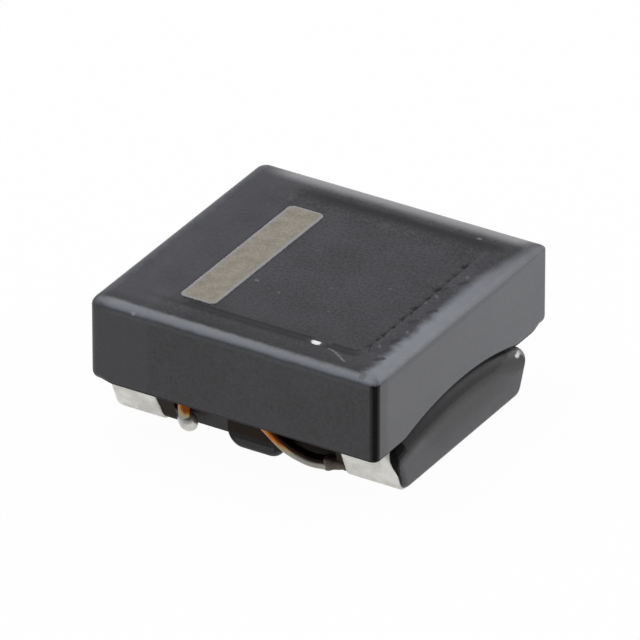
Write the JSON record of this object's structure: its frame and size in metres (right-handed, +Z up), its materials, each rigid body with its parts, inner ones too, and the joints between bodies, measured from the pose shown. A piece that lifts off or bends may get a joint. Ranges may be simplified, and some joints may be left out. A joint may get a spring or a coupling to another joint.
{
  "type": "smd common mode choke",
  "caption": "Square surface-mount common mode choke: a ferrite drum core with paired windings and tinned corner terminals under an arched ferrite cap.",
  "frame": {"origin": "centre of the footprint, on the board that the terminals stand on", "axes": "+Z up, away from the board; X along the two sides where the leads show; -Y the side nearer the viewer in the picture"},
  "size_m": [0.005, 0.005, 0.0023],
  "materials": {
    "cap_ferrite": "satin, fired",
    "base_ferrite": "satin, fired",
    "adhesive": "cured resin",
    "enamelled_copper": "clear enamel, tinned at the ends",
    "bar_print": "matt print",
    "tin_plating": "matt tin",
    "solder": "bright tin"
  },
  "bodies": {
    "root": {"cap_core": "cap_ferrite", "base_core": "base_ferrite", "cap_adhesive_left": "adhesive", "cap_adhesive_right": "adhesive", "winding_one": "enamelled_copper", "winding_two": "enamelled_copper", "polarity_mark": "bar_print", "electrode_front_left": "tin_plating", "electrode_front_right": "tin_plating", "electrode_back_left": "tin_plating", "electrode_back_right": "tin_plating", "solder_joint_front_left": "solder", "solder_joint_front_right": "solder", "solder_joint_back_left": "solder", "solder_joint_back_right": "solder"}
  },
  "joints": []
}
